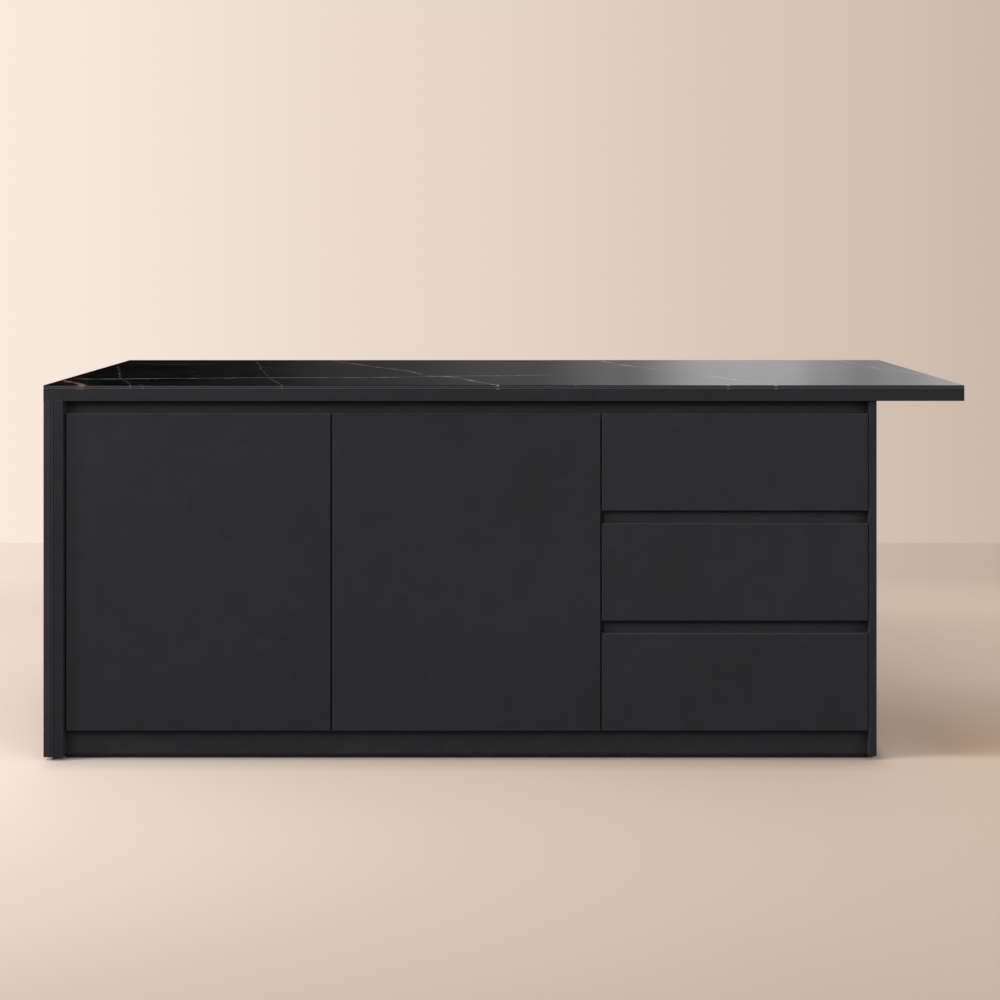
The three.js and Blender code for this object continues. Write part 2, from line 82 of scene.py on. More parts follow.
class Graph:
    """A node tree under construction. Textures run in the piece's own metres."""

    def __init__(self, tree):
        self.tree = tree

    def node(self, kind, **settings):
        made = self.tree.nodes.new(kind)
        for name, value in settings.items():
            setattr(made, name, value)
        return made

    def feed(self, socket, value):
        """Sets a socket to a value, or links it to another socket."""
        if isinstance(value, bpy.types.NodeSocket):
            self.tree.links.new(value, socket)
        else:
            socket.default_value = value

    def fed(self, kind, values, **settings):
        """A node with its first inputs fed. Returns its first output."""
        made = self.node(kind, **settings)
        for socket, value in zip(made.inputs, values):
            self.feed(socket, value)
        return made.outputs[0]

    def math(self, operation, *values):
        return self.fed("ShaderNodeMath", values, operation=operation)

    def vector(self, operation, *values):
        return self.fed("ShaderNodeVectorMath", values, operation=operation)

    def plus(self, first, second):
        return self.math("ADD", first, second)

    def minus(self, first, second):
        return self.math("SUBTRACT", first, second)

    def absolute(self, value):
        return self.math("ABSOLUTE", value)

    def times(self, product, *factors):
        for factor in factors:
            product = self.math("MULTIPLY", product, factor)
        return product

    def blend(self, first, second, share):
        """This share of the first value, and the rest of the second."""
        return self.plus(self.times(first, share), self.times(second, 1 - share))

    def parts(self, vector):
        """The X, Y and Z of a vector."""
        made = self.node("ShaderNodeSeparateXYZ")
        self.feed(made.inputs[0], vector)
        return tuple(made.outputs)

    def span(self, value, low, high, first=0.0, last=1.0, smooth=True):
        """Maps low..high to first..last, and stops at both ends."""
        kind = "SMOOTHSTEP" if smooth else "LINEAR"
        values = (value, low, high, first, last)
        return self.fed("ShaderNodeMapRange", values, interpolation_type=kind)

    def mix(self, factor, first, second):
        made = self.node("ShaderNodeMix", data_type="RGBA")
        for place, value in ((0, factor), (6, first), (7, second)):
            self.feed(made.inputs[place], value)
        return made.outputs[2]

    def curve(self, value, points):
        """A smooth curve through points in the unit square."""
        made = self.node("ShaderNodeFloatCurve")
        line = made.mapping.curves[0]
        line.points[0].location = points[0]
        line.points[1].location = points[-1]
        for point in points[1:-1]:
            line.points.new(*point)
        made.mapping.update()
        self.feed(made.inputs["Value"], value)
        return made.outputs[0]

    def noise(self, scale, detail, roughness, place, offset=None, output=0):
        """Noise with scale lumps to the metre. Another offset gives another pattern."""
        made = self.node("ShaderNodeTexNoise")
        if offset is not None:
            made.noise_dimensions = "4D"
            self.feed(made.inputs["W"], offset)
        self.feed(made.inputs["Vector"], place)
        made.inputs["Scale"].default_value = scale
        made.inputs["Detail"].default_value = detail
        made.inputs["Roughness"].default_value = roughness
        return made.outputs[output]

    def grain(self, detail, place, scales):
        """Noise with its own scale along each axis."""
        made = self.node("ShaderNodeMapping")
        self.feed(made.inputs["Vector"], place)
        made.inputs["Scale"].default_value = scales
        return self.noise(1.0, detail, 0.6, made.outputs[0])


class Finish(Graph):
    """A principled material whose colour, roughness and bump come from nodes."""

    def __init__(self, name, specular=0.5, metallic=0.0):
        self.material = bpy.data.materials.new(name)
        self.material.use_nodes = True
        super().__init__(self.material.node_tree)
        self.shader = self.tree.nodes["Principled BSDF"]
        self.shader.inputs["Specular IOR Level"].default_value = specular
        self.shader.inputs["Metallic"].default_value = metallic
        self.place = self.node("ShaderNodeTexCoord").outputs["Object"]
        self.facing = self.parts(self.node("ShaderNodeTexCoord").outputs["Normal"])
        # An offset that differs from piece to piece.
        self.own = self.times(self.node("ShaderNodeObjectInfo").outputs["Random"], 7.0)

    def rounded(self):
        """1 on the rounded edges, 0 on the faces that lie square to an axis."""
        across, deep, up = (self.absolute(side) for side in self.facing)
        square = self.math("MAXIMUM", self.math("MAXIMUM", across, deep), up)
        return self.span(square, 0.93, 0.995, 1.0, 0.0)

    def colour(self, value):
        self.feed(self.shader.inputs["Base Color"], value)

    def roughness(self, value):
        self.feed(self.shader.inputs["Roughness"], value)

    def bump(self, *layers):
        """Layers of (height, depth in metres), one on the other."""
        normal = None
        for height, depth in layers:
            made = self.node("ShaderNodeBump")
            made.inputs["Distance"].default_value = depth
            made.inputs["Strength"].default_value = 1.0
            self.feed(made.inputs["Height"], height)
            if normal is not None:
                self.feed(made.inputs["Normal"], normal)
            normal = made.outputs[0]
        self.feed(self.shader.inputs["Normal"], normal)


# ---------------------------------------------------------------- finishes

PAINTED_CORNER_SHADE = cool(26, 1)
PAINTED_SHADE_UNDER_FRONTS = cool(29, 1)
PAINTED_INNER_FACE_LIGHT = cool(56)


def lacquer(name, dark, light, rough, arris, painted_top_highlight, inward=0, corner=None):
    """Matt lacquered board: a faint cloudy mottle and a fine orange peel. The rounded
    edges have the tone arris, mostly a painted highlight and on the packer a dark joint;
    those that face upwards have the top tone, mostly a painted highlight. A face that
    looks into the cabinet, to the side inward along X, is painted paler: painted light.
    corner is the (height, fade) above which a board is painted darker: a painted shade
    under what hangs over it."""
    made = Finish(name, specular=0.25)
    cloud = made.noise(24.0, 3.0, 0.55, made.place, made.own)
    drift = made.noise(3.2, 2.0, 0.5, made.place, made.own)
    face = made.mix(made.span(made.blend(cloud, drift, 0.55), 0.38, 0.62), dark, light)
    # Rounded edges take the tone arris: mostly a painted highlight, on the packer a dark joint.
    face = made.mix(made.rounded(), face, arris)
    # The inner face of a side panel is painted paler: painted light on a face that lies in shade.
    if inward:
        towards = made.times(made.facing[0], inward)
        face = made.mix(made.span(towards, 0.5, 0.9), face, PAINTED_INNER_FACE_LIGHT)
    # A painted shade along the top of the board, under what hangs over it.
    if corner:
        height, fade = corner
        painted_shade_share = made.span(made.parts(made.place)[2], height - fade, height)
        face = made.mix(painted_shade_share, face, PAINTED_SHADE_UNDER_FRONTS)
    # Faces that look upwards take the top tone, mostly a painted highlight.
    upwards = made.span(made.facing[2], 0.1, 0.5)
    made.colour(made.mix(upwards, face, painted_top_highlight))
    peel = made.noise(420.0, 2.0, 0.6, made.place)
    made.roughness(made.plus(made.span(cloud, 0.3, 0.7, rough - 0.03, rough + 0.03),
                             made.times(peel, 0.04)))
    wave = made.noise(60.0, 1.0, 0.5, made.place)
    made.bump((wave, 0.00004), (peel, 0.00003))
    return made.material


def melamine(name, dark, light, rough, band):
    """Melamine faced board for the inside: a fine woven print, lightly embossed, with
    a black band on the front edge."""
    made = Finish(name, specular=0.4)
    lengthways = made.grain(2.0, made.place, (90.0, 900.0, 900.0))
    crossways = made.grain(2.0, made.place, (900.0, 90.0, 90.0))
    weave = made.blend(lengthways, crossways, 0.5)
    cloud = made.noise(9.0, 2.0, 0.5, made.place, made.own)
    face = made.mix(made.span(made.blend(weave, cloud, 0.7), 0.4, 0.6), dark, light)
    banded = made.span(made.facing[1], -0.6, -0.3, 1.0, 0.0)
    made.colour(made.mix(banded, face, band))
    made.roughness(made.span(weave, 0.35, 0.65, rough + 0.05, rough - 0.05))
    made.bump((weave, 0.00006))
    return made.material


def anodised(name, dark, light, shaded, soft):
    """Black anodised aluminium strip, brushed lengthways. Above the height shaded it
    carries a painted shade, for the corner under what hangs over it, and the change takes soft metres."""
    made = Finish(name, specular=0.3)
    streak = made.grain(3.0, made.place, (6.0, 700.0, 700.0))
    cloud = made.noise(12.0, 2.0, 0.5, made.place)
    face = made.mix(made.span(made.blend(streak, cloud, 0.6), 0.35, 0.65), dark, light)
    # Painted shade in the corner under what hangs over the strip.
    corner = made.span(made.parts(made.place)[2], shaded - soft, shaded)
    made.colour(made.mix(corner, face, PAINTED_CORNER_SHADE))
    made.roughness(made.span(streak, 0.3, 0.7, 0.38, 0.5))
    made.bump((streak, 0.00001))
    return made.material


def powder_coat(name, dark, light):
    """Grey powder coated steel: a fine pebbled skin."""
    made = Finish(name)
    pebble = made.noise(1300.0, 1.0, 0.5, made.place)
    cloud = made.noise(14.0, 3.0, 0.5, made.place, made.own)
    made.colour(made.mix(made.span(cloud, 0.35, 0.65), dark, light))
    made.roughness(made.span(pebble, 0.3, 0.7, 0.36, 0.46))
    made.bump((pebble, 0.00003))
    return made.material


def nickel(name, dark, light):
    """Nickel plated steel with a fine satin grain and dull patches."""
    made = Finish(name, metallic=1.0)
    grain = made.grain(2.0, made.place, (2500.0, 120.0, 2500.0))
    patch = made.noise(45.0, 3.0, 0.6, made.place, made.own)
    made.colour(made.mix(made.span(patch, 0.35, 0.65), dark, light))
    made.roughness(made.plus(made.span(patch, 0.3, 0.7, 0.2, 0.32), made.times(grain, 0.06)))
    made.bump((grain, 0.000008))
    return made.material


def moulded(name, dark, light, rough):
    """Moulded plastic or rubber with a spark-eroded skin."""
    made = Finish(name)
    pitted = made.noise(2200.0, 1.0, 0.5, made.place)
    cloud = made.noise(80.0, 2.0, 0.5, made.place, made.own)
    made.colour(made.mix(made.span(cloud, 0.35, 0.65), dark, light))
    made.roughness(made.span(pitted, 0.3, 0.7, rough - 0.05, rough + 0.05))
    made.bump((pitted, 0.00002))
    return made.material


# ---------------------------------------------------------------- the stone

SLAB_LOW, SLAB_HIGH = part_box("worktop_slab")
SLAB_SIZE = SLAB_HIGH - SLAB_LOW

# The stone's main veins, seen from above, in metres from the middle of the worktop.
# Each is (its colour, its width, its strength, the points that it runs through).
WHITE = shade(214, 210, 204)
ASH = shade(150, 149, 148)
SMOKE = cool(92, 3)
SAND = shade(158, 132, 118)
RUST = shade(178, 128, 110)
VEINS_ALONG = (
    (WHITE, 0.0050, 1.0, ((-1.07, -0.262), (-0.88, -0.247), (-0.64, -0.221), (-0.36, -0.211),
                          (-0.20, -0.182), (0.13, -0.130))),
    (SMOKE, 0.0070, 0.9, ((-1.07, 0.300), (-0.96, 0.274), (-0.83, 0.296))),
    (RUST, 0.0040, 0.7, ((-1.105, -0.222), (-1.085, -0.232), (-1.05, -0.262))),
)
VEINS_ACROSS = (
    (RUST, 0.0130, 1.0, ((-1.018, -0.45), (-1.040, -0.399), (-1.069, -0.353), (-1.102, -0.304))),
    (SMOKE, 0.0034, 1.0, ((-0.903, -0.45), (-0.930, -0.363), (-0.969, -0.260), (-1.020, -0.066),
                          (-1.036, 0.016), (-1.060, 0.098), (-1.087, 0.210))),
    (SMOKE, 0.0030, 1.0, ((-0.872, -0.45), (-0.888, -0.425))),
    (SMOKE, 0.0034, 0.9, ((-0.535, -0.45), (-0.593, -0.241), (-0.647, -0.013), (-0.680, 0.155),
                          (-0.720, 0.370))),
    (SAND, 0.0072, 1.0, ((-0.123, -0.221), (-0.181, -0.168), (-0.257, 0.009), (-0.387, 0.206),
                         (-0.511, 0.45))),
    (WHITE, 0.0052, 1.0, ((-0.014, -0.45), (-0.045, -0.390), (-0.102, -0.260), (-0.155, -0.160))),
    (WHITE, 0.0030, 1.0, ((0.170, -0.45), (0.177, -0.43))),
    (WHITE, 0.0060, 1.0, ((0.656, -0.45), (0.617, -0.363), (0.567, -0.250), (0.517, -0.120))),
    (WHITE, 0.0050, 1.0, ((0.544, -0.45), (0.522, -0.425))),
    (WHITE, 0.0052, 1.0, ((0.425, 0.070), (0.350, 0.225), (0.290, 0.40))),
    (WHITE, 0.0040, 1.0, ((1.10, -0.09), (1.045, 0.060), (1.010, 0.246), (0.990, 0.44))),
)
VEIN_FADE = 0.025
VEIN_HALO = 4
RIM = 0.001

# How the veins wander off their routes: (noise scale, detail, reach in metres).
BENDS = ((7.0, 3.0, (0.020, 0.035, 0.02)), (55.0, 2.0, (0.004, 0.006, 0.004)))

# The slab's sawn edge, in metres down from its top: two pale lines, which are painted highlights, and the polished
# arris.
SAWN_LINES = (0.0030, 0.0078)
ARRIS_END = 0.0022


def vein(made, shares, clouds, width, strength, route, along):
    """How strongly one vein shows. along is True where it runs from left to right.
    shares are the place's shares of the slab's length and depth, and clouds the noises
    that swell a vein and break it up."""
    lead, side = (0, 1) if along else (1, 0)
    swell, breaks = clouds
    size, breadth = SLAB_SIZE[lead], SLAB_SIZE[side]
    line = sorted(((point[lead] - SLAB_LOW[lead]) / size, (point[side] - SLAB_LOW[side]) / breadth)
                  for point in route)
    (first, start), (last, end) = line[0], line[-1]
    slope = (end - start) * breadth / ((last - first) * size)
    lean = math.cos(math.atan(slope))
    offset = made.absolute(made.minus(shares[side], made.curve(shares[lead], line)))
    distance = made.times(offset, breadth * lean)
    edge = made.times(made.span(swell, 0.3, 0.75, 0.35, 1.3), width)
    core = made.span(distance, 0.0, edge, 1.0, 0.0)
    halo = made.span(distance, 0.0, width * VEIN_HALO, 0.05, 0.0)
    full = made.math("MAXIMUM", core, halo)
    # A vein fades out at its ends, unless it runs over the edge of the slab.
    fade = VEIN_FADE / size
    if first > RIM:
        full = made.times(full, made.span(shares[lead], first - fade, first + fade))
    if last < 1 - RIM:
        full = made.times(full, made.span(shares[lead], last - fade, last + fade, 1.0, 0.0))
    return made.times(full, made.span(breaks, 0.36, 0.58, 0.3, strength))


def sawn_edge(made, strength):
    """The sawn edge is only honed, so it is greyer than the polished face. Its arrises
    are eased: the upper one is polished dark, and a pale line, a painted highlight, follows each."""
    fine = made.noise(180.0, 2.0, 0.6, made.place)
    sawn = made.mix(made.span(fine, 0.35, 0.65), grey(34), cool(41))
    down = made.minus(SLAB_HIGH.z, made.parts(made.place)[2])
    # Painted highlights along the eased arrises.
    for line in SAWN_LINES:
        gap = made.absolute(made.minus(down, line))
        sawn = made.mix(made.span(gap, 0.0005, 0.0013, 0.8, 0.0), sawn, grey(60))
    sawn = made.mix(made.span(down, 0.0013, ARRIS_END, 1.0, 0.0), sawn, grey(6))
    return made.mix(made.times(strength, 0.11), sawn, ASH)


def marble(name):
    """Polished black stone: faint clouds, main veins on their routes and hairlines."""
    made = Finish(name)
    moved = made.place
    for scale, detail, reach in BENDS:
        bend = made.noise(scale, detail, 0.6, made.place, output="Color")
        bend = made.vector("SUBTRACT", bend, (0.5, 0.5, 0.5))
        moved = made.vector("MULTIPLY_ADD", bend, reach, moved)
    places = made.parts(moved)
    shares = [made.span(places[axis], SLAB_LOW[axis], SLAB_HIGH[axis], smooth=False) for axis in (0, 1)]

    cloud = made.noise(4.5, 4.0, 0.6, made.place)
    body = made.mix(made.span(cloud, 0.42, 0.68), grey(9), cool(21))
    swell = made.noise(26.0, 2.0, 0.6, made.place)
    breaks = made.noise(11.0, 3.0, 0.65, made.place)
    stain = made.span(made.noise(6.0, 2.0, 0.5, made.place), 0.4, 0.65)
    strength = 0.0
    for along, family in ((True, VEINS_ALONG), (False, VEINS_ACROSS)):
        for colour, width, amount, route in family:
            share = vein(made, shares, (swell, breaks), width, amount, route, along)
            stained = made.mix(stain, colour, made.mix(0.3, colour, SAND))
            body = made.mix(share, body, stained)
            strength = made.math("MAXIMUM", strength, share)

    web = made.node("ShaderNodeTexVoronoi", feature="DISTANCE_TO_EDGE")
    made.feed(web.inputs["Vector"], moved)
    web.inputs["Scale"].default_value = 3.1
    gate = made.span(made.noise(2.6, 2.0, 0.5, made.place), 0.52, 0.66)
    hair = made.times(made.span(web.outputs["Distance"], 0.0, 0.0055, 1.0, 0.0), gate,
                      made.span(breaks, 0.42, 0.62, 0.0, 0.32))
    body = made.mix(hair, body, ASH)

    honed = made.span(made.absolute(made.facing[2]), 0.05, 0.35, 1.0, 0.0)
    made.colour(made.mix(honed, body, sawn_edge(made, strength)))
    polish = made.plus(made.span(cloud, 0.3, 0.7, 0.07, 0.11), made.times(strength, 0.1))
    made.roughness(made.plus(polish, made.times(honed, 0.35)))
    made.bump((strength, 0.00002))
    return made.material


# ---------------------------------------------------------------- which finish goes where

FINISHES = {
    "polished_stone": marble("polished_stone_finish"),
    "matt_black_board": lacquer("matt_black_finish", cool(38), cool(41.5, 2.5), 0.5,
                                cool(54), cool(59)),
    "core_board": lacquer("core_finish", cool(34.2, 1.8), cool(37.6, 2.2), 0.48,
                          cool(40), cool(44)),
    # The plinth carries a painted shade along its top, under the fronts.
    "plinth_board": lacquer("plinth_finish", cool(37), cool(41), 0.52,
                            cool(37), cool(37), corner=(0.059, 0.009)),
    "cabinet_inside": melamine("inside_finish", cool(50), cool(62), 0.5, cool(12, 1)),
    COATED: powder_coat("steel_finish", shade(92, 94, 98), shade(104, 106, 110)),
    STEEL: nickel("nickel_finish", shade(168, 166, 160), shade(196, 194, 188)),
    PLASTIC: moulded("plastic_finish", cool(24, 1), cool(34, 1), 0.55),
}

# What hangs over each finger channel, how far below it the painted shade starts to fade
# and how softly it does, and the channel's own grey, which differs from channel to channel as painted light.
OVERHANGS = {
    "finger_channel_top": ("worktop_core", 0.007, 0.016, 41.5),
    "finger_channel_upper": ("top_drawer_front", 0.0082, 0.006, 47),
    "finger_channel_lower": ("middle_drawer_front", 0.0127, 0.006, 46),
}

# Nodes that differ a little from their material: the left gable's three layers, with a
# dark joint on both sides of the packer, the doors, the side panels and the channels.
# The doors' and side panels' tones are painted light: lit and shaded copies of one finish.
OWN_FINISHES = {
    "left_end_panel": lacquer("end_panel_finish", cool(41), cool(45), 0.5, cool(47), cool(60)),
    "left_packer": lacquer("packer_finish", cool(39), cool(42), 0.5, cool(12, 1), cool(30, 1)),
    "door_left": lacquer("left_door_finish", cool(35.7), cool(39.2, 2.3), 0.5, cool(53), cool(68)),
    "door_right": lacquer("right_door_finish", cool(36.8), cool(40.3, 2.5), 0.5, cool(54), cool(68)),
}
# Each side panel's tone is painted light, set to how light falls on that side.
for panel, tone, inward in (("left_side_panel", 33, 1), ("right_side_panel", 35.3, -1)):
    OWN_FINISHES[panel] = lacquer(panel + "_finish", cool(tone), cool(tone + 3.5), 0.5,
                                  cool(42), cool(60), inward)
for strip, (above, drop, soft, tone) in OVERHANGS.items():
    OWN_FINISHES[strip] = anodised(strip + "_finish", cool(tone), cool(tone + 8),
                                   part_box(above)[0].z - drop, soft)


# ---------------------------------------------------------------- the CAD nodes

# How far each material's edges are rounded.
EDGES = {
    "polished_stone": 0.0006,
    "matt_black_board": 0.0012,
    "core_board": 0.0003,
    "plinth_board": 0.0006,
    "cabinet_inside": 0.0005,
    "black_anodised": 0.0003,
    COATED: 0.0003,
    STEEL: 0.00025,
    PLASTIC: 0.0002,
}
SPLIT_GAP = 0.00001
FLAT_ANGLE = math.radians(0.5)
SHARP_ANGLE = math.radians(35)


def round_edges(piece, width):
    """Joins split corners, clears flat faces and rounds the sharp edges."""
    join = piece.modifiers.new("join", "WELD")
    join.merge_threshold = SPLIT_GAP
    flats = piece.modifiers.new("flats", "DECIMATE")
    flats.decimate_type = "DISSOLVE"
    flats.angle_limit = FLAT_ANGLE
    edges = piece.modifiers.new("edges", "BEVEL")
    edges.width = width
    edges.segments = 3
    edges.limit_method = "ANGLE"
    edges.angle_limit = SHARP_ANGLE
    edges.harden_normals = True


for subpart in frame["record"]["subparts"]:
    node = nodes[subpart["node"]]
    slot = subpart["material_slot"]
    node.material_slots[0].material = OWN_FINISHES.get(node.name) or FINISHES[slot]
    round_edges(node, EDGES[slot])


# ---------------------------------------------------------------- small fittings

# Sizes and places of the fittings that the solids leave out. An INSET is measured from
# an edge, a REACH from the middle, a RISE from the foot and a DROP from the top.
PLATE_SHEET = 0.002
RUNNER_SHEET = 0.0015
ARM_THICKNESS = 0.006
ARM_HALF_WIDTH = 0.0065
CUP_SCREW_REACH = 0.0225
PLATE_SCREW_REACH = 0.0135
PLATE_SCREW_INSET = 0.023
ARM_SCREW_INSETS = {"fixing": 0.010, "adjusting": 0.031}
RUNNER_SCREW_PLACES = (0.03, 0.16, 0.30, 0.46)
BRACKET_SHEET = 0.0016
BRACKET_ACROSS = 0.020
BRACKET_BACK = 0.026
BRACKET_HEIGHT = 0.060
BRACKET_RISE = 0.075
BRACKET_EDGE = 0.0003
FRONT_SCREW_ACROSS = BRACKET_ACROSS * 0.6
FRONT_SCREW_REACH = BRACKET_HEIGHT * 0.3
SIDE_SCREW_BACK = BRACKET_BACK * 0.65
BUMPER_RADIUS = 0.003
BUMPER_INSET = 0.0035
BUMPER_RISE = 0.0105
BUMPER_DROP = 0.035
SHELF_PIN_RADIUS = 0.0025
SHELF_PIN_INSET = 0.05
CAP_INSET = 0.04
RAIL_SCREW_SHARES = (0.12, 0.37, 0.63, 0.88)
SEAL_GAP = 0.0005


def meshed(name, shape):
    mesh = bpy.data.meshes.new(name)
    shape.to_mesh(mesh)
    shape.free()
    return mesh


def finished(mesh, slot):
    """Smooth shading with sharp corners, and the finish of the slot."""
    mesh.shade_smooth()
    mesh.set_sharp_from_angle(angle=SHARP_ANGLE)
    mesh.materials.append(FINISHES[slot])
    return mesh


def circle(radius, height, count):
    turns = [2 * math.pi * step / count for step in range(count)]
    return [Vector((radius * math.cos(turn), radius * math.sin(turn), height)) for turn in turns]


def skin(shape, rows):
    """Faces between rows of points, each row a loop or a single point."""
    count = max(len(row) for row in rows)
    for lower, upper in zip(rows, rows[1:]):
        for step in range(count):
            after = (step + 1) % count
            corners = (lower[step % len(lower)], lower[after % len(lower)],
                       upper[after % len(upper)], upper[step % len(upper)])
            shape.faces.new(list(dict.fromkeys(corners)))


def turned(name, slot, profile, count=28):
    """A solid turned about Z. Its profile of (radius, height) starts and ends on the axis."""
    shape = bmesh.new()
    rows = [[shape.verts.new(point) for point in circle(radius, height, count if radius else 1)]
            for radius, height in profile]
    skin(shape, rows)
    return finished(meshed(name, shape), slot)


def pushed(name, corners, move):
    """A solid made by pushing a flat face along move."""
    shape = bmesh.new()
    face = shape.faces.new([shape.verts.new(corner) for corner in corners])
    raised = bmesh.ops.extrude_face_region(shape, geom=[face])["geom"]
    moved = [item for item in raised if isinstance(item, bmesh.types.BMVert)]
    bmesh.ops.translate(shape, verts=moved, vec=move)
    bmesh.ops.recalc_face_normals(shape, faces=shape.faces)
    return meshed(name, shape)


def cross_screw(name, slot, radius, height):
    """A domed screw head with a cross recess. It stands on z = 0 and faces +Z."""
    shape = bmesh.new()
    dome = ((1.0, 0.0), (1.0, 0.4), (0.9, 0.75), (0.66, 1.0))
    rows = [[shape.verts.new(point) for point in circle(radius * reach, height * rise, 24)]
            for reach, rise in dome]
    skin(shape, [[shape.verts.new((0, 0, 0))]] + rows)
    arm, half, taper = radius * 0.5, radius * 0.12, 0.7
    quarter = [(arm, -half), (arm, half), (half, half)]
    outline = [Matrix.Rotation(step * math.pi / 2, 2) @ Vector(point)
               for step in range(4) for point in quarter]
    mouth = [shape.verts.new((x, y, height)) for x, y in outline]
    floor = [shape.verts.new((x * taper, y * taper, height * 0.25)) for x, y in outline]
    loops = rows[-1] + mouth
    for triangle in tessellate_polygon([[vert.co for vert in rows[-1]], [vert.co for vert in mouth]]):
        shape.faces.new([loops[corner] for corner in triangle])
    skin(shape, [mouth, floor])
    shape.faces.new(floor)
    bmesh.ops.recalc_face_normals(shape, faces=shape.faces)
    return finished(meshed(name, shape), slot)


def angle_bracket(name, slot, inward):
    """A bent sheet that ties a drawer's front to its side. Its corner is at the origin."""
    sheet, across, back = BRACKET_SHEET, BRACKET_ACROSS, BRACKET_BACK
    outline = ((0, 0), (across, 0), (across, sheet), (sheet * 2, sheet), (sheet, sheet * 2),
               (sheet, back), (0, back))
    corners = [(inward * x, y, -BRACKET_HEIGHT / 2) for x, y in outline]
    return finished(pushed(name, corners, (0, 0, BRACKET_HEIGHT)), slot)


def fit(name, mesh, place, axis, body):
    """Sets a fitting in place with its own +Z along axis, and lets it ride."""
    piece = bpy.data.objects.new(name, mesh)
    lie = Vector((0, 0, 1)).rotation_difference(Vector(axis)).to_matrix().to_4x4()
    piece.matrix_world = Matrix.Translation(place) @ lie
    bpy.context.scene.collection.objects.link(piece)
    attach(piece, body)
    return piece


wide_screw = cross_screw("wide_screw", STEEL, 0.0038, 0.0012)
small_screw = cross_screw("small_screw", STEEL, 0.0030, 0.0010)
pin_head = turned("pin_head", STEEL, ((0, 0), (0.0022, 0), (0.0022, 0.0002),
                                      (0.0017, 0.0005), (0, 0.0006)))
bumper = turned("bumper", PLASTIC, ((0, 0), (BUMPER_RADIUS, 0), (BUMPER_RADIUS, 0.0014),
                                    (BUMPER_RADIUS * 0.8, 0.0022),
                                    (BUMPER_RADIUS * 0.4, 0.0026), (0, 0.0027)))
shelf_pin = turned("shelf_pin", STEEL, ((0, 0), (0.0045, 0), (0.0045, 0.0008), (0.004, 0.0014),
                                        (SHELF_PIN_RADIUS, 0.0014), (SHELF_PIN_RADIUS, 0.0084),
                                        (SHELF_PIN_RADIUS * 0.7, 0.0095), (0, 0.0098)))
cover_cap = turned("cover_cap", PLASTIC, ((0, 0), (0.0075, 0), (0.0075, 0.0004), (0.0068, 0.0010),
                                          (0.002, 0.0011), (0.0016, 0.0006), (0, 0.0006)))
# The seals' rubber is dark and warm like floor in deep shade: partly its own colour, partly painted shade.
rubber = moulded("rubber_gap_shade_finish", shade(20, 16, 13), shade(26, 21, 17), 0.65)


def outer_x(low, high, inward):
    """The side of a box that the way inward starts from."""
    return low.x if inward > 0 else high.x


def inner_x(low, high, inward):
    """The side of a box that the way inward ends at."""
    return high.x if inward > 0 else low.x


def dress_hinges():
    """The screws of each hinge's cup, plate and arm, and the ends of its pin."""
    pivots = {joint["child"]: Vector(joint["pos_m"]) for joint in frame["joints"]
              if joint["child"].endswith("_link")}
    for hand, inward in HANDS:
        for level in LEVELS:
            tag = f"{hand}_{level}"
            low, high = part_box(f"hinge_cup_{tag}")
            middle = (low + high) / 2
            for end, up in ENDS:
                place = (middle.x, high.y, middle.z + up * CUP_SCREW_REACH)
                fit(f"cup_screw_{tag}_{end}", wide_screw, place, (0, 1, 0), f"{hand}_door")
            low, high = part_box(f"hinge_arm_{tag}")
            plate_face = outer_x(low, high, inward) + inward * PLATE_SHEET
            arm_face = plate_face + inward * ARM_THICKNESS
            for end, up in ENDS:
                place = (plate_face, high.y - PLATE_SCREW_INSET, middle.z + up * PLATE_SCREW_REACH)
                fit(f"plate_screw_{tag}_{end}", wide_screw, place, (inward, 0, 0), "cabinet")
                place = pivots[f"{tag}_link"] + Vector((0, 0, up * ARM_HALF_WIDTH))
                fit(f"hinge_pin_{tag}_{end}", pin_head, place, (0, 0, up), "cabinet")
            for use, inset in ARM_SCREW_INSETS.items():
                place = (arm_face, high.y - inset, middle.z)
                fit(f"{use}_screw_{tag}", small_screw, place, (inward, 0, 0), "cabinet")


def dress_drawers():
    """The runners' screws, and the brackets that tie each front to its drawer's sides."""
    for label in DRAWERS:
        body = f"{label}_drawer"
        for hand, inward in HANDS:
            low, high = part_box(f"{label}_runner_{hand}")
            web = outer_x(low, high, inward) + inward * RUNNER_SHEET
            for number, along in enumerate(RUNNER_SCREW_PLACES, 1):
                place = (web, low.y + along, (low.z + high.z) / 2)
                fit(f"{label}_runner_screw_{hand}_{number}", small_screw, place, (inward, 0, 0),
                    "cabinet")

            low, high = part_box(f"{body}_{hand}_side")
            corner = Vector((inner_x(low, high, inward), low.y, low.z + BRACKET_RISE))
            bracket = angle_bracket(f"{body}_bracket_{hand}", COATED, inward)
            piece = fit(f"{body}_bracket_{hand}", bracket, corner, (0, 0, 1), body)
            round_edges(piece, BRACKET_EDGE)
            for end, up in ENDS:
                place = corner + Vector((inward * FRONT_SCREW_ACROSS, BRACKET_SHEET,
                                         up * FRONT_SCREW_REACH))
                fit(f"{body}_front_screw_{hand}_{end}", wide_screw, place, (0, 1, 0), body)
            place = corner + Vector((inward * BRACKET_SHEET, SIDE_SCREW_BACK, 0))
            fit(f"{body}_side_screw_{hand}", small_screw, place, (inward, 0, 0), body)


def dress_front(name, low, high, across, body):
    """Two soft bumpers on the back of a door or a drawer front."""
    for end, height in (("low", low.z + BUMPER_RISE), ("high", high.z - BUMPER_DROP)):
        fit(f"{name}_{end}", bumper, (across, high.y, height), (0, 1, 0), body)


def dress_fronts():
    """The bumpers meet the partitions: a door's at its free edge, a drawer's at its left."""
    for hand, inward in HANDS:
        low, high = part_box(f"door_{hand}")
        across = inner_x(low, high, inward) - inward * BUMPER_INSET
        dress_front(f"door_bumper_{hand}", low, high, across, f"{hand}_door")
    for label in DRAWERS:
        low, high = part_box(f"{label}_drawer_front")
        dress_front(f"{label}_drawer_bumper", low, high, low.x + BUMPER_INSET, f"{label}_drawer")


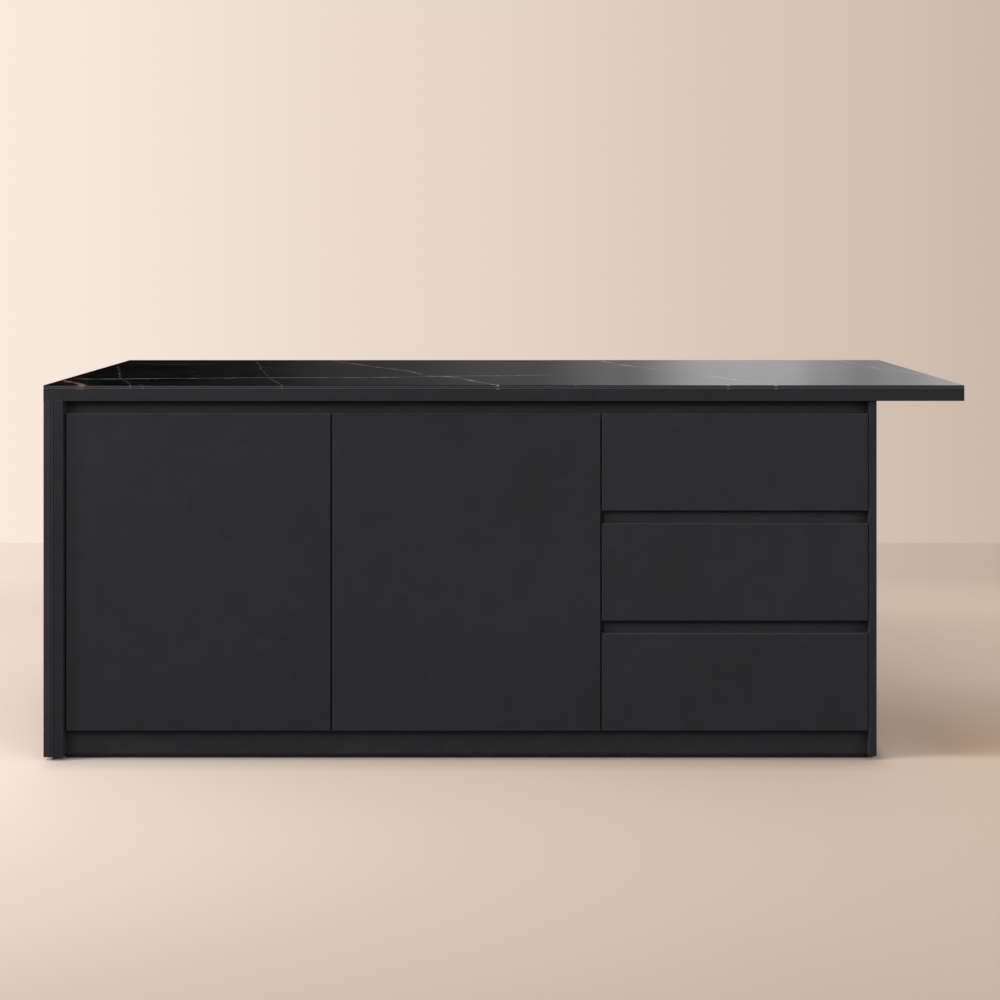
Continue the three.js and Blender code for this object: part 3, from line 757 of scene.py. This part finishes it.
def dress_inside():
    """Shelf pins, caps over the base panel's fixings, and the worktop's screws."""
    base_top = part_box("base_panel")[1].z
    for bay in ("left", "right"):
        low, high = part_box(f"shelf_{bay}")
        for hand, inward in HANDS:
            wall = outer_x(low, high, inward)
            for end, along in (("front", low.y + SHELF_PIN_INSET), ("rear", high.y - SHELF_PIN_INSET)):
                place = (wall, along, low.z - SHELF_PIN_RADIUS)
                fit(f"shelf_pin_{bay}_{hand}_{end}", shelf_pin, place, (inward, 0, 0), "cabinet")
                place = (wall + inward * CAP_INSET, along, base_top)
                fit(f"cover_cap_{bay}_{hand}_{end}", cover_cap, place, (0, 0, 1), "cabinet")
    for rail in ("front", "rear"):
        low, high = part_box(f"top_{rail}_rail")
        for number, share in enumerate(RAIL_SCREW_SHARES, 1):
            place = (low.x + share * (high.x - low.x), (low.y + high.y) / 2, low.z)
            fit(f"worktop_screw_{rail}_{number}", wide_screw, place, (0, 0, -1), "cabinet")


def plinth_seal_gap_shade(side, outer):
    """A rubber strip clipped under a plinth board, with a lip on the floor. It is partly a
    real seal and partly painted shade: a dark, warm strip put in the gap under the plinth,
    where the floor lies in shade, with its lip reaching forward over the floor. Its section
    is given as (depth behind the board's outer face, height)."""
    low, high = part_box(f"plinth_{side}")
    face = low.y if outer < 0 else high.y
    clip = (high.y - low.y) * 0.6
    section = ((-0.0052, 0.0002), (-0.0058, 0.0006), (-0.0050, 0.0014), (-0.0012, 0.0034),
               (0.0003, 0.0056), (0.0003, 0.0079), (clip, 0.0079), (clip, 0.0064),
               (0.0018, 0.0064), (0.0018, 0.0044), (0.0, 0.0026))
    corners = [(low.x + SEAL_GAP, face - outer * depth, height) for depth, height in section]
    mesh = pushed(f"plinth_seal_{side}", corners, (high.x - low.x - 2 * SEAL_GAP, 0, 0))
    mesh.materials.append(rubber)
    fit(f"plinth_seal_{side}", mesh, (0, 0, 0), (0, 0, 1), "cabinet")


plinth_seal_gap_shade("front", -1)
plinth_seal_gap_shade("rear", 1)
dress_hinges()
dress_drawers()
dress_fronts()
dress_inside()


# ---------------------------------------------------------------- floor and backdrop

FLOOR_REACH = 14.0
WALL_LINE = 2.476

# The floor's tones at lines ever further back: (Y, tone at the left, tone at the right).
# Their changes are painted light: the floor is painted darker where the light falls off.
FLOOR_LEFT = -2.1
FLOOR_RIGHT = 1.9
FLOOR_TONES = (
    (-1.72, shade(182, 169, 160), shade(173, 154, 136)),
    (-0.5, shade(229, 215, 204), shade(196, 172, 152)),
    (1.2, shade(220, 204, 192), shade(212, 191, 170)),
    (1.75, shade(230, 214, 202), shade(194, 173, 155)),
)
FLOOR_BOUNCE = grey(102)

# The warm painted shadow beside the right gable: the width over which it deepens, and
# how far behind the worktop's front edge it is full, starts to fade and has gone.
SIDE_PAINTED_SHADOW = shade(184, 157, 135)
SIDE_SHADE_WIDTH = 0.2
SIDE_SHADE_FULL = 0.07
SIDE_SHADE_FADES = 0.15
SIDE_SHADE_GONE = 0.75

# The painted shadows at the foot of the plinth: (distance in front of it where one starts,
# distance where it is full, its strength). They fade out a little beyond its ends.
PAINTED_FOOT_SHADOWS = ((0.113, 0.023, 0.24), (0.030, 0.008, 0.40))
FOOT_SHADE_ENDS = 0.06

# The backdrop's tones end this far to the side, in metres for each metre ahead.
BACKDROP_SPREAD = 0.32
# The backdrop is painted light: paler to the left and darker to the right, as the light falls off.
BACKDROP_LEFT = shade(249, 235, 222)
BACKDROP_RIGHT = shade(203, 184, 167)

# The screen that the polished stone mirrors: (place across the backdrop, brightness).
SCREEN_STOPS = ((0.16, 0.004), (0.24, 0.012), (0.36, 0.047), (0.52, 0.098), (0.61, 0.20),
                (0.70, 0.53), (0.725, 0.55), (0.768, 0.55), (0.803, 0.41), (0.842, 0.32),
                (0.877, 0.385), (0.93, 0.57))

# What is mirrored round the screen: a dark room, with a haze low down before the object.
MIRRORED_ROOM = grey(50)
MIRRORED_HAZE = (0.25, 0.25, 0.25, 1)

# The light from above and from level.
SKY = grey(252)
HORIZON = grey(72)


def floor_tone(made):
    """The floor as the camera sees it: tones from near to far that paint the fall of the light,
    and two painted shadows.
    """
    across, deep, _ = made.parts(made.place)
    share = made.span(across, FLOOR_LEFT, FLOOR_RIGHT, smooth=False)
    start, left, right = FLOOR_TONES[0]
    tone = made.mix(share, left, right)
    for end, left, right in FLOOR_TONES[1:]:
        tone = made.mix(made.span(deep, start, end, smooth=False), tone, made.mix(share, left, right))
        start = end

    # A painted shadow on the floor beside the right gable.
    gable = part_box("right_side_panel")[1].x
    front = SLAB_LOW.y
    aside = made.times(
        made.span(across, gable, gable + SIDE_SHADE_WIDTH, smooth=False),
        made.span(deep, front, front + SIDE_SHADE_FULL),
        made.span(deep, front + SIDE_SHADE_FADES, front + SIDE_SHADE_GONE, 1.0, 0.0, smooth=False))
    tone = made.mix(aside, tone, SIDE_PAINTED_SHADOW)

    # Painted shadows on the floor along the foot of the plinth.
    low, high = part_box("plinth_front")
    beside = made.times(made.span(across, low.x - FOOT_SHADE_ENDS, low.x),
                        made.span(across, high.x, high.x + FOOT_SHADE_ENDS, 1.0, 0.0),
                        made.span(deep, -0.1, 0.0, 1.0, 0.0))
    for start, full, strength in PAINTED_FOOT_SHADOWS:
        dull = made.span(deep, low.y - start, low.y - full, 0.0, strength, smooth=False)
        tone = made.mix(made.times(beside, dull), tone, grey(0))
    return tone


def studio_floor():
    """A dull floor. What the object gets from it is a plain grey bounce."""
    mesh = bpy.data.meshes.new("studio_floor")
    corners = [(-FLOOR_REACH, -FLOOR_REACH, 0), (FLOOR_REACH, -FLOOR_REACH, 0),
               (FLOOR_REACH, WALL_LINE, 0), (-FLOOR_REACH, WALL_LINE, 0)]
    mesh.from_pydata(corners, [], [(0, 1, 2, 3)])
    floor = bpy.data.objects.new("studio_floor", mesh)
    bpy.context.scene.collection.objects.link(floor)
    made = Finish("studio_floor_finish", specular=0.2)
    path = made.node("ShaderNodeLightPath")
    made.colour(made.mix(path.outputs["Is Camera Ray"], FLOOR_BOUNCE, floor_tone(made)))
    made.roughness(0.75)
    mesh.materials.append(made.material)


def studio_world():
    """Neutral light all round. The camera sees a pale backdrop in its place."""
    world = bpy.data.worlds.new("studio")
    bpy.context.scene.world = world
    world.use_nodes = True
    made = Graph(world.node_tree)
    across, deep, up = made.parts(made.node("ShaderNodeTexCoord").outputs["Generated"])
    ahead = made.math("MAXIMUM", made.absolute(deep), 0.001)
    column = made.span(made.math("DIVIDE", across, ahead), -BACKDROP_SPREAD, BACKDROP_SPREAD,
                       smooth=False)
    # Painted light: the backdrop grows darker from left to right.
    backdrop = made.mix(column, BACKDROP_LEFT, BACKDROP_RIGHT)

    # What polished stone mirrors: a dark end on the left, a pale screen on the right.
    screen = made.node("ShaderNodeValToRGB")
    made.feed(screen.inputs[0], column)
    ramp = screen.color_ramp
    ramp.interpolation = "EASE"
    for element, (position, level) in zip(ramp.elements, (SCREEN_STOPS[0], SCREEN_STOPS[-1])):
        element.position = position
        element.color = (level, level, level, 1)
    for position, level in SCREEN_STOPS[1:-1]:
        ramp.elements.new(position).color = (level, level, level, 1)
    behind = made.span(deep, 0.1, 0.5)
    low = made.span(up, 0.16, 0.35, 1.0, 0.0)
    around = made.mix(made.span(up, 0.6, 0.8), MIRRORED_HAZE, MIRRORED_ROOM)
    around = made.mix(behind, around, MIRRORED_ROOM)
    mirrored = made.mix(made.times(behind, low), around, screen.outputs[0])

    path = made.node("ShaderNodeLightPath")
    dome = made.mix(made.span(up, 0.35, 0.75), HORIZON, SKY)
    lit = made.mix(path.outputs["Is Glossy Ray"], dome, mirrored)
    seen = made.mix(path.outputs["Is Camera Ray"], lit, backdrop)
    background = world.node_tree.nodes["Background"]
    made.feed(background.inputs["Color"], seen)
    background.inputs["Strength"].default_value = 1.0


# ---------------------------------------------------------------- lamps and camera

# The photograph's camera: a level view with the picture shifted down.
PICTURE = 1000
FOCAL_PIXELS = 1627
AXIS_PIXEL = (507.4, 250)
EYE = Vector((0.0085, -4.380, 1.2347))
SENSOR = 36.0

# Three softboxes stand on an arc before the front: (name, degrees round, watts).
FRONT_PANELS = (("front_panel_a", -40, 61), ("front_panel_b", 0, 97), ("front_panel_c", 40, 118))
FRONT_PANEL_REACH = 6.2
FRONT_PANEL_HEIGHT = 2.7


def lamp(name, place, target, size, power):
    """A softbox, seen by nothing but the light that it gives."""
    data = bpy.data.lights.new(name, "AREA")
    data.shape = "RECTANGLE"
    data.size, data.size_y = size
    data.energy = power
    made = bpy.data.objects.new(name, data)
    made.location = place
    made.rotation_euler = (Vector(target) - Vector(place)).to_track_quat("-Z", "Y").to_euler()
    made.visible_camera = False
    made.visible_glossy = False
    bpy.context.scene.collection.objects.link(made)


def camera():
    data = bpy.data.cameras.new("photo_camera")
    data.sensor_width = SENSOR
    data.lens = FOCAL_PIXELS / PICTURE * SENSOR
    data.shift_x = (PICTURE / 2 - AXIS_PIXEL[0]) / PICTURE
    data.shift_y = (AXIS_PIXEL[1] - PICTURE / 2) / PICTURE
    made = bpy.data.objects.new("photo_camera", data)
    made.location = EYE
    made.rotation_euler = (math.pi / 2, 0, 0)
    bpy.context.scene.collection.objects.link(made)
    bpy.context.scene.camera = made


studio_floor()
studio_world()
for name, turn, power in FRONT_PANELS:
    aim = math.radians(turn)
    stand = (FRONT_PANEL_REACH * math.sin(aim), -FRONT_PANEL_REACH * math.cos(aim), FRONT_PANEL_HEIGHT)
    lamp(name, place=stand, target=(0.0, -0.45, 0.9), size=(4.2, 2.6), power=power)
lamp("key", place=(-7.5, -2.5, 4.0), target=(0.0, -0.2, 0.4), size=(1.6, 1.6), power=440)
lamp("corner", place=(-1.9, -1.9, 1.5), target=(-0.95, -0.45, 0.85), size=(0.6, 0.6), power=11)
lamp("rear_panel", place=(0.3, 5.2, 1.0), target=(0.0, 0.15, 0.45), size=(3.6, 1.4), power=75)
lamp("side_panel", place=(6.0, 0.4, 0.9), target=(0.9, -0.1, 0.45), size=(2.4, 1.3), power=50)
camera()
bpy.context.scene.view_settings.view_transform = "Standard"
